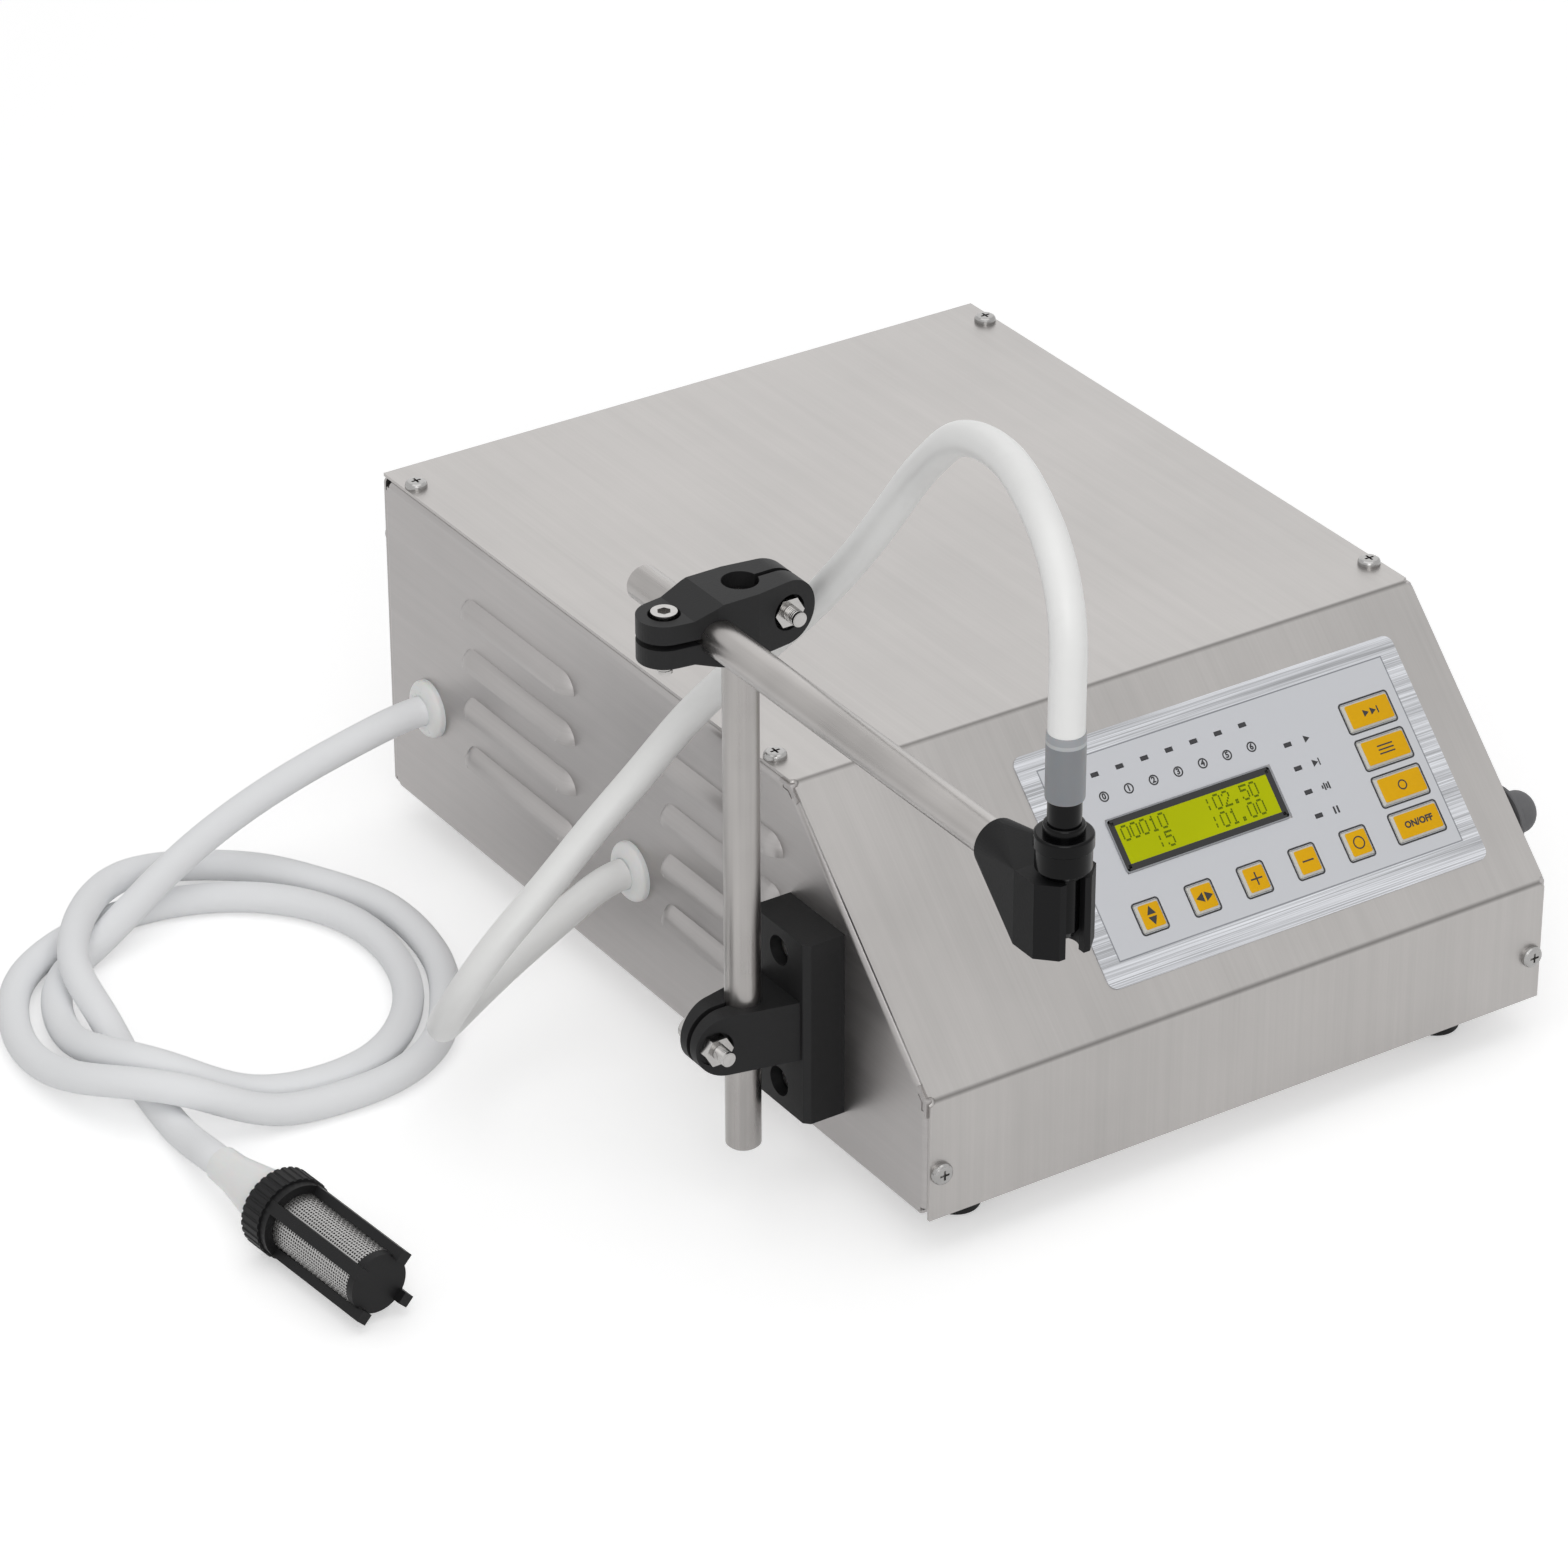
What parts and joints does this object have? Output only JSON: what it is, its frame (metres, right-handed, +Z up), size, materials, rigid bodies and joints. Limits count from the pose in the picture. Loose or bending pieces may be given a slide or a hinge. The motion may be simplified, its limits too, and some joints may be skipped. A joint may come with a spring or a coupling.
{
  "type": "liquid filling machine",
  "caption": "Benchtop liquid filler: sheet-steel pump cabinet with sloping keypad and display, clamp stand with a dosing nozzle, outlet hose, and suction hose with a strainer.",
  "frame": {"origin": "middle of the machine's own box on the ground, hoses and strainer left out", "axes": "+X to the machine's right, +Y to its back, +Z up; the control panel faces -Y and up"},
  "size_m": [0.4642, 0.4886, 0.3324],
  "materials": {
    "tray_steel": "satin brushed stainless sheet",
    "cover_steel": "satin brushed stainless sheet",
    "black_rubber": "matt black rubber",
    "screw_steel": "bright zinc-plated steel",
    "label_film": "silver film with fine hairlines in its border",
    "window_clear": "clear window with a black border",
    "display_green": "lit yellow-green display",
    "board_green": "green solder mask",
    "black_plastic": "black moulded plastic",
    "lamp_dark": "dark lamp window",
    "white_plastic": "white moulded plastic",
    "grey_rubber": "matt grey rubber",
    "black_nylon": "black nylon with a fine grain",
    "bolt_steel": "plain steel fasteners",
    "rod_steel": "ground and polished steel",
    "gloss_black": "glossy black moulding",
    "grey_silicone": "translucent grey silicone",
    "milky_silicone": "milky silicone",
    "mesh_steel": "woven steel mesh",
    "painted_steel": "grey painted steel",
    "motor_steel": "black painted steel",
    "cast_aluminium": "cast aluminium",
    "supply_metal": "plain aluminium sheet",
    "key_yellow": "yellow keys with a pale bevel"
  },
  "bodies": {
    "cabinet": {"base_tray": "tray_steel", "top_cover": "cover_steel", "rear_panel": "tray_steel", "feet": "black_rubber", "foot_screws": "screw_steel", "cover_screws": "screw_steel", "rear_screws": "screw_steel", "control_label": "label_film", "lcd_window": "window_clear", "lcd_module": "display_green", "control_board": "board_green", "board_standoffs": "screw_steel", "tact_switches": "black_plastic", "status_leds": "lamp_dark", "inlet_collar": "white_plastic", "outlet_collar": "white_plastic", "collar_nuts": "white_plastic", "foot_switch_socket": "screw_steel", "bracket": "black_nylon", "bracket_screws": "bolt_steel", "bracket_nuts": "bolt_steel", "bracket_clamp_bolt": "bolt_steel", "outlet_hose": "milky_silicone", "suction_hose": "milky_silicone", "strainer_fitting": "white_plastic", "strainer_cap": "black_plastic", "strainer_cage": "black_plastic", "strainer_mesh": "mesh_steel", "pump_bracket": "painted_steel", "pump_motor": "motor_steel", "crank_housing": "cast_aluminium", "pump_diaphragm": "black_rubber", "pump_head": "white_plastic", "pump_screws": "screw_steel", "motor_straps": "screw_steel", "inner_inlet_hose": "milky_silicone", "inner_outlet_hose": "milky_silicone", "power_supply": "supply_metal", "power_inlet": "black_plastic", "switch_body": "black_plastic"},
    "post": {"post": "rod_steel"},
    "clamp": {"cross_clamp": "black_nylon", "arm_clamp_screw": "bolt_steel", "post_clamp_bolt": "bolt_steel"},
    "arm": {"arm": "rod_steel", "nozzle_holder": "black_nylon"},
    "nozzle": {"nozzle": "gloss_black", "nozzle_sleeve": "grey_silicone"},
    "cap": {"socket_cap": "grey_rubber"},
    "rocker": {"switch_rocker": "black_plastic"},
    "eccentric": {"pump_eccentric": "rod_steel"},
    "key_up_down": {"key_up_down": "key_yellow"},
    "key_left_right": {"key_left_right": "key_yellow"},
    "key_plus": {"key_plus": "key_yellow"},
    "key_minus": {"key_minus": "key_yellow"},
    "key_ring": {"key_ring": "key_yellow"},
    "wide_key_1": {"wide_key_1": "key_yellow"},
    "wide_key_2": {"wide_key_2": "key_yellow"},
    "wide_key_3": {"wide_key_3": "key_yellow"},
    "wide_key_4": {"wide_key_4": "key_yellow"}
  },
  "joints": [
    {"name": "post_slide", "type": "slide", "parent": "cabinet", "child": "post", "axis": [0, 0, 1], "range_m": [-0.018, 0.03], "deforming": ["outlet_hose"]},
    {"name": "arm_swing", "type": "hinge", "parent": "post", "child": "clamp", "pos_m": [-0.1305, -0.04056, 0.2185], "axis": [0, 0, 1], "range_deg": [-25, 25], "deforming": ["outlet_hose"]},
    {"name": "arm_slide", "type": "slide", "parent": "clamp", "child": "arm", "axis": [0, 1, 0], "range_m": [-0.018, 0.07], "deforming": ["outlet_hose"]},
    {"name": "nozzle_lift", "type": "slide", "parent": "arm", "child": "nozzle", "axis": [0, 0, 1], "range_m": [0, 0.02], "deforming": ["outlet_hose"]},
    {"name": "cap_pull", "type": "slide", "parent": "cabinet", "child": "cap", "axis": [1, 0, 0], "range_m": [0, 0.012]},
    {"name": "rocker_tilt", "type": "hinge", "parent": "cabinet", "child": "rocker", "pos_m": [0.1055, 0.23944, 0.084], "axis": [1, 0, 0], "range_deg": [0, 20]},
    {"name": "pump_spin", "type": "hinge", "parent": "cabinet", "child": "eccentric", "pos_m": [-0.0045, 0.14094, 0.059], "axis": [1, 0, 0], "continuous": true},
    {"name": "key_up_down_press", "type": "slide", "parent": "cabinet", "child": "key_up_down", "axis": [0, 0.7071, -0.7071], "range_m": [0, 0.0004], "stiffness_N_per_m": 800},
    {"name": "key_left_right_press", "type": "slide", "parent": "cabinet", "child": "key_left_right", "axis": [0, 0.7071, -0.7071], "range_m": [0, 0.0004], "stiffness_N_per_m": 800},
    {"name": "key_plus_press", "type": "slide", "parent": "cabinet", "child": "key_plus", "axis": [0, 0.7071, -0.7071], "range_m": [0, 0.0004], "stiffness_N_per_m": 800},
    {"name": "key_minus_press", "type": "slide", "parent": "cabinet", "child": "key_minus", "axis": [0, 0.7071, -0.7071], "range_m": [0, 0.0004], "stiffness_N_per_m": 800},
    {"name": "key_ring_press", "type": "slide", "parent": "cabinet", "child": "key_ring", "axis": [0, 0.7071, -0.7071], "range_m": [0, 0.0004], "stiffness_N_per_m": 800},
    {"name": "wide_key_1_press", "type": "slide", "parent": "cabinet", "child": "wide_key_1", "axis": [0, 0.7071, -0.7071], "range_m": [0, 0.0004], "stiffness_N_per_m": 800},
    {"name": "wide_key_2_press", "type": "slide", "parent": "cabinet", "child": "wide_key_2", "axis": [0, 0.7071, -0.7071], "range_m": [0, 0.0004], "stiffness_N_per_m": 800},
    {"name": "wide_key_3_press", "type": "slide", "parent": "cabinet", "child": "wide_key_3", "axis": [0, 0.7071, -0.7071], "range_m": [0, 0.0004], "stiffness_N_per_m": 800},
    {"name": "wide_key_4_press", "type": "slide", "parent": "cabinet", "child": "wide_key_4", "axis": [0, 0.7071, -0.7071], "range_m": [0, 0.0004], "stiffness_N_per_m": 800}
  ]
}
